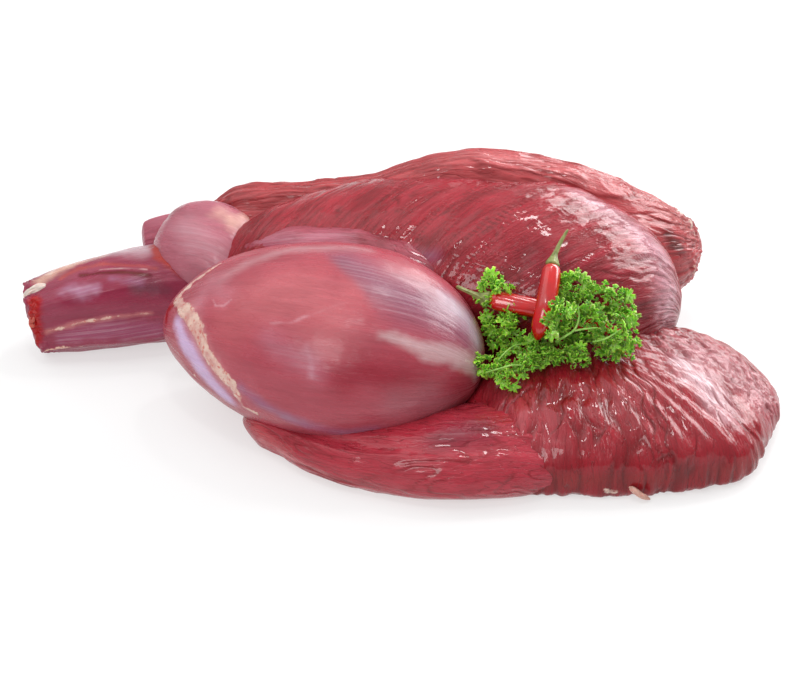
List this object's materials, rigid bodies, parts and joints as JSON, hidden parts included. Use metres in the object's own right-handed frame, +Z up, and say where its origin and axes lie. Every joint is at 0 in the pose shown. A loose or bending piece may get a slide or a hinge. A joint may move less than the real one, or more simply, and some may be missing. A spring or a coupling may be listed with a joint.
{
  "type": "boneless venison leg",
  "caption": "Boned venison leg laid out flat: shank, oval muscle in silverskin, coarse-fibred top muscles and a fanned slab, with curly parsley and red chillies on it.",
  "frame": {"origin": "centre of the bounding box, at the height of the flat underside", "axes": "+Z up, +X along the leg away from the shank, +Y towards the back"},
  "size_m": [0.4118, 0.2294, 0.1035],
  "materials": {
    "meat": "wet raw muscle with silverskin and fat",
    "parsley": "fresh curly leaf",
    "chilli": "glossy pod",
    "stalk": "dry olive green"
  },
  "bodies": {
    "root": {"venison_leg": "meat", "parsley": "parsley", "chilli_upright": "chilli", "chilli_level": "chilli", "chilli_stalk_upright": "stalk", "chilli_stalk_level": "stalk"}
  },
  "joints": []
}
